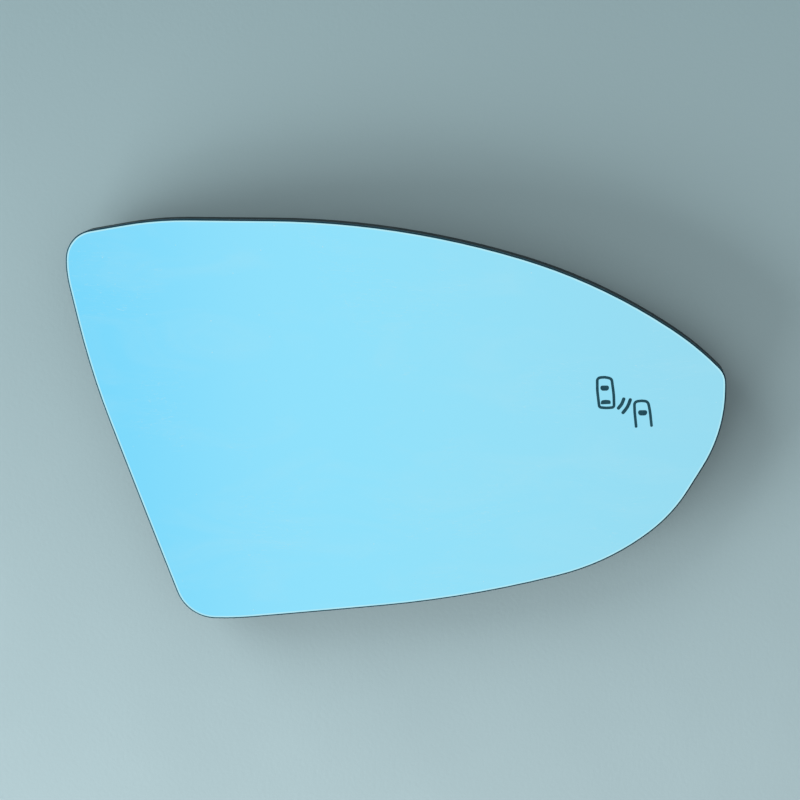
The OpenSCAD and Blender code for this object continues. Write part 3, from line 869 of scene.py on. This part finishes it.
screw = {
    "headRadius": 2.0 * mm,
    "headHeight": 1.3 * mm,
    "sideHeight": 0.42 * mm,     # of the straight side of the head
    "domePower": 2.6,            # the higher, the flatter the top of the head
    "domeShares": (0.0, 0.3, 0.6, 0.8, 0.92, 0.98, 1.0),  # of its rings, from cross to side
    "footChamfer": 0.08 * mm,    # under the head
    "coreRadius": 0.6 * mm,
    "threadRadius": 0.9 * mm,
    "pitch": 0.95 * mm,
    "crestShare": 0.24,          # half the width of a crest at its foot, as a share of the pitch
    "rowsPerPitch": 10,
    "runIn": 0.4 * mm,           # length over which the thread rises
    "point": 0.8 * mm,           # length of the taper at the tip
    "tipShare": 0.35,            # of the core's radius that is left at the tip
    "crossReach": 1.12 * mm,     # from the middle to the end of an arm
    "crossHalf": 0.27 * mm,      # half the width of an arm
    "crossDepth": 0.72 * mm,
    "crossFloor": 0.5,           # size of the cross at its floor, as a share of its mouth
    "crossThroat": 0.93,         # the same just below its mouth
    "crossLip": 0.05 * mm,       # depth of that throat
    "roundAngles": (0.33, 0.45, 0.6),  # of points between the corner of an arm and the next arm
    "turns": (0.35, 1.1),        # how far each of the two is turned
}
crossCorner = math.atan2(screw["crossHalf"], screw["crossReach"])


def crossRadius(angle):  # from the middle of the cross to its edge
    off = abs((angle + math.pi / 4) % (math.pi / 2) - math.pi / 4)
    if off <= crossCorner:
        return screw["crossReach"] / math.cos(off)
    return screw["crossHalf"] / math.sin(off)


def domeHeight(r):  # of the top of the head, over its seat
    side, radius = screw["sideHeight"], screw["headRadius"]
    fall = max(0.0, 1 - (r / radius) ** screw["domePower"])
    return side + (screw["headHeight"] - side) * math.sqrt(fall)


def threadRadius(angle, down, shank):  # of the shank at that angle and that far below the head
    core = screw["coreRadius"]
    left = (shank - down) / screw["point"]
    phase = (down / screw["pitch"] + angle / (2 * math.pi)) % 1
    crest = max(0.0, 1 - abs(phase - 0.5) / screw["crestShare"])
    fade = min(1.0, down / screw["runIn"], left)
    taper = screw["tipShare"] + (1 - screw["tipShare"]) * min(1.0, left)
    return core * taper + (screw["threadRadius"] - core) * crest * fade


def buildLampScrews(material):
    _, halfWidth, tip, top = boxInLamp("lamp_screws")
    radius = screw["headRadius"]
    apart = halfWidth - radius             # from the middle of the lamp to each screw
    under = top - screw["headHeight"]      # depth of the seat of the head
    shank = under - tip
    rows = round(shank / screw["pitch"] * screw["rowsPerPitch"])
    offsets = (0, crossCorner * 0.5, crossCorner, *screw["roundAngles"], math.pi / 4)
    quarter = sorted({round(way * offset, 9) for offset in offsets for way in (-1, 1)})[:-1]
    angles = [q + k * math.pi / 2 for k in range(4) for q in quarter]

    vertices, faces = [], []
    for where, turned in zip((-apart, apart), screw["turns"]):
        def ring(radiusAt, heightAt):
            points = []
            for a in angles:
                r = radiusAt(a)
                x, y = r * math.cos(a + turned), where + r * math.sin(a + turned)
                points.append((x, y, under + heightAt(r)))
            return points

        rings = [
            ring(lambda a: crossRadius(a) * screw["crossFloor"],
                lambda r: screw["headHeight"] - screw["crossDepth"]),
            ring(lambda a: crossRadius(a) * screw["crossThroat"],
                lambda r: domeHeight(r) - screw["crossLip"])]
        for share in screw["domeShares"]:
            rings.append(ring(
                lambda a: crossRadius(a) + (radius - crossRadius(a)) * share, domeHeight))
        rings.append(ring(lambda a: radius, lambda r: screw["footChamfer"]))
        rings.append(ring(lambda a: radius - screw["footChamfer"], lambda r: 0.0))
        for row in range(rows + 1):
            down = shank * row / rows
            rings.append(ring(lambda a: threadRadius(a, down, shank), lambda r: -down))
        stackRings(vertices, faces, rings)
    piece = layInLamp("lampScrews", vertices, faces, material)
    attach(piece, "root")
    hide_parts("lamp_screws")


# The cover welded on the lamp: a lip inside, a rim, and a sunk panel with two stiffening bars

cover = {
    "thickness": 1.0 * mm,
    "corner": 0.5 * mm,
    "leastCorner": 0.1 * mm,
    "lip": (1.3 * mm, 2.1 * mm),   # from the edge to the outside and inside of the lip
    "rim": 1.7 * mm,
    "sunk": 0.28 * mm,
    "chamfer": 0.15 * mm,
    "root": 0.1 * mm,              # how deep the bars and the marks reach into the panel
    "bar": (0.45 * mm, 0.2 * mm),  # half the width of a bar, and its height
    "barCorner": 0.3 * mm,
    "barPlace": 0.42,              # from the middle, as a share of half the width
    "barShort": 1.2 * mm,          # from the rim to the end of a bar
    "pin": (1.1 * mm, 0.07 * mm),  # radius and height of the marks of the ejector pins
    "pinProfile": ((1, 0), (0.93, 1), (0.8, 1), (0.74, 1 / 3)),  # as shares of these two
    "pinSteps": 28,
    "pinPlace": (4.4 * mm, 3.6 * mm),  # from the end and from the side of the cover
}


def coverShell(halfLength, halfWidth, top, bottom):
    inner = bottom - cover["thickness"]      # depth of the inner face
    chamfer, rim = cover["chamfer"], cover["rim"]
    lipOut, lipIn = cover["lip"]
    profile = [  # distance from the edge and depth, from inside round the edge to the panel
        (lipIn, inner), (lipIn, top), (lipOut, top), (lipOut, inner), (chamfer / 3, inner),
        (0, inner + chamfer / 3), (0, bottom - chamfer), (chamfer, bottom), (rim, bottom),
        (rim + chamfer, bottom - cover["sunk"])]
    rings = []
    for inset, depth in profile:
        corner = max(cover["leastCorner"], cover["corner"] - inset / 2)
        outline = roundedBox(halfLength - inset, halfWidth - inset, corner)
        rings.append([(p.x, p.y, depth) for p in outline])
    return rings


def coverBar(y, reach, floor):
    half, height = cover["bar"]
    rings = []
    for inset, rise in ((0, -cover["root"]), (0, 0), (height / 2, height)):
        outline = roundedBox(reach - inset, half - inset, cover["barCorner"] - inset)
        rings.append([(p.x, p.y + y, floor + rise) for p in outline])
    return rings


def pinMark(x, y, floor):
    radius, height = cover["pin"]
    angles = [2 * math.pi * k / cover["pinSteps"] for k in range(cover["pinSteps"])]
    steps = [(radius, -cover["root"])]
    steps += [(share * radius, rise * height) for share, rise in cover["pinProfile"]]
    return [
        [(x + r * math.cos(a), y + r * math.sin(a), floor + rise) for a in angles]
        for r, rise in steps]


def buildLampCover(material):
    halfLength, halfWidth, top, bottom = boxInLamp("lamp_cover")
    floor = bottom - cover["sunk"]
    reach = halfLength - cover["rim"] - cover["barShort"]
    fromEnd, fromSide = cover["pinPlace"]
    forms = [coverShell(halfLength, halfWidth, top, bottom)]
    for side in (-1, 1):
        forms.append(coverBar(side * halfWidth * cover["barPlace"], reach, floor))
    pinX, pinY = halfLength - fromEnd, halfWidth - fromSide
    for end in (-1, 1):
        for side in (-1, 1):
            forms.append(pinMark(end * pinX, side * pinY, floor))
    forms.append(pinMark(0, 0, floor))
    vertices, faces = [], []
    for rings in forms:
        stackRings(vertices, faces, rings)
    piece = layInLamp("lampCover", vertices, faces, material)
    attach(piece, "root")
    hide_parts("lamp_cover")


# Table, light and camera

stage = {
    "near": srgb(181, 205, 210),     # painted light and shade: the table is lighter on this side and darker on the far side, as the lamps' falloff would make it; colour of the table's side nearest to the camera's foot
    "far": srgb(147, 173, 178),
    "fade": 0.12,                    # from the middle to where each of the two is reached
    "spot": srgb(150, 172, 178),
    "spotScale": 22.0,
    "spotDetail": 4.0,
    "spotRange": (0.3, 0.8),
    "spotShare": 0.16,
    "roughness": 0.6,
    "grainScale": 900.0,
    "grainDetail": 2.0,
    "bump": (0.1 * mm, 0.3),         # height and strength
    "tableSize": 6.0,
}


def makeTable():
    material, tree, shader = startMaterial("table top", stage["near"], stage["roughness"])
    where = whereOn(tree)
    # painted light and shade: the colour goes from lighter on the near side to darker on the far
    # side of the table
    across = place(tree, "ShaderNodeSeparateXYZ", {"Vector": where}).outputs["Y"]
    share = remap(tree, across, (-stage["fade"], stage["fade"]))
    tint = mixColours(tree, share, stage["near"], stage["far"])
    broad = noiseOn(tree, where, stage["spotScale"], stage["spotDetail"])
    spots = remap(tree, broad, stage["spotRange"], (0.0, stage["spotShare"]))
    tint = mixColours(tree, spots, tint, stage["spot"])
    tree.links.new(tint, shader.inputs["Base Color"])
    fine = noiseOn(tree, where, stage["grainScale"], stage["grainDetail"])
    bumpInto(tree, shader, fine, *stage["bump"])
    half = stage["tableSize"] / 2
    corners = [(-half, -half, 0), (half, -half, 0), (half, half, 0), (-half, half, 0)]
    table = meshPiece("tableTop", corners, [(0, 1, 2, 3)], smooth=False)
    table.data.materials.append(material)
    print("table laid")


studio = {
    "worldColour": (0.97, 0.99, 1.0, 1.0),
    "worldLight": 0.4,
    "shownColour": (1.0, 1.0, 1.0, 1.0),     # seen by the camera, in gloss and through glass
    "shownLight": 1.0,
    "aim": Vector((0.0, 0.0, 0.0)),          # the lamps look there
    "lamps": [  # name, place, size, watts
        ("farLamp", (-1.2, 0.9, 0.8), 1.2, 10.7),
        ("windowLamp", (-1.5, -0.6, 0.4), 0.9, 26.9),
        ("nearLamp", (-1.05, -1.2, 0.55), 0.9, 13.2),
    ],
}


def makeWorld():
    world = bpy.data.worlds.new("plain studio")
    bpy.context.scene.world = world
    world.use_nodes = True
    tree = world.node_tree
    tree.nodes.clear()
    path = tree.nodes.new("ShaderNodeLightPath").outputs
    seen = calculate(tree, "MAXIMUM", path["Is Camera Ray"], path["Is Glossy Ray"])
    seen = calculate(tree, "MAXIMUM", seen, path["Is Transmission Ray"])
    light = place(tree, "ShaderNodeBackground", {
        "Color": studio["worldColour"], "Strength": studio["worldLight"]})
    shown = place(tree, "ShaderNodeBackground", {
        "Color": studio["shownColour"], "Strength": studio["shownLight"]})
    mix = place(tree, "ShaderNodeMixShader", {0: seen, 1: light.outputs[0], 2: shown.outputs[0]})
    place(tree, "ShaderNodeOutputWorld", {"Surface": mix.outputs[0]})


def makeLamps():
    for name, spot, size, power in studio["lamps"]:
        data = bpy.data.lights.new(name, "AREA")
        data.shape = "DISK"
        data.size = size
        data.energy = power
        lamp = bpy.data.objects.new(name, data)
        lamp.location = spot
        way = studio["aim"] - Vector(spot)
        lamp.rotation_euler = way.to_track_quat("-Z", "Y").to_euler()
        lamp.visible_glossy = False      # the glass mirrors the pale surroundings, not the lamps
        bpy.context.collection.objects.link(lamp)
    print("world and lamps set:", len(studio["lamps"]), "lamps")


view = {
    "distance": 0.7,
    "towards": Vector((0.075, 0.162, 1.0)),      # from the glass to the camera
    "target": Vector((6.27 * mm, 3.93 * mm, 17.4 * mm)),
    "lens": 118.66,
    "sensor": 36.0,
    "nearest": 0.01,
}


def makeCamera():
    data = bpy.data.cameras.new("camera")
    data.lens = view["lens"]
    data.sensor_width = view["sensor"]
    data.sensor_fit = "HORIZONTAL"
    data.clip_start = view["nearest"]
    camera = bpy.data.objects.new("camera", data)
    way = view["towards"].normalized()
    right = Vector((0, 1, 0)).cross(way).normalized()    # +Y is up in the picture
    camera.matrix_world = Matrix((right, way.cross(right), way)).transposed().to_4x4()
    camera.location = view["target"] + way * view["distance"]
    bpy.context.collection.objects.link(camera)
    bpy.context.scene.camera = camera
    print("camera set")


bpy.context.scene.view_settings.view_transform = "Standard"
makeCamera()
buildMirrorGlass()
buildSign()
finishes = makeFinishes()
dressNodes(finishes)
buildLampScrews(finishes["screw zinc"])
buildLampCover(finishes["lamp plastic"])
makeTable()
makeWorld()
makeLamps()

print("scene ready")
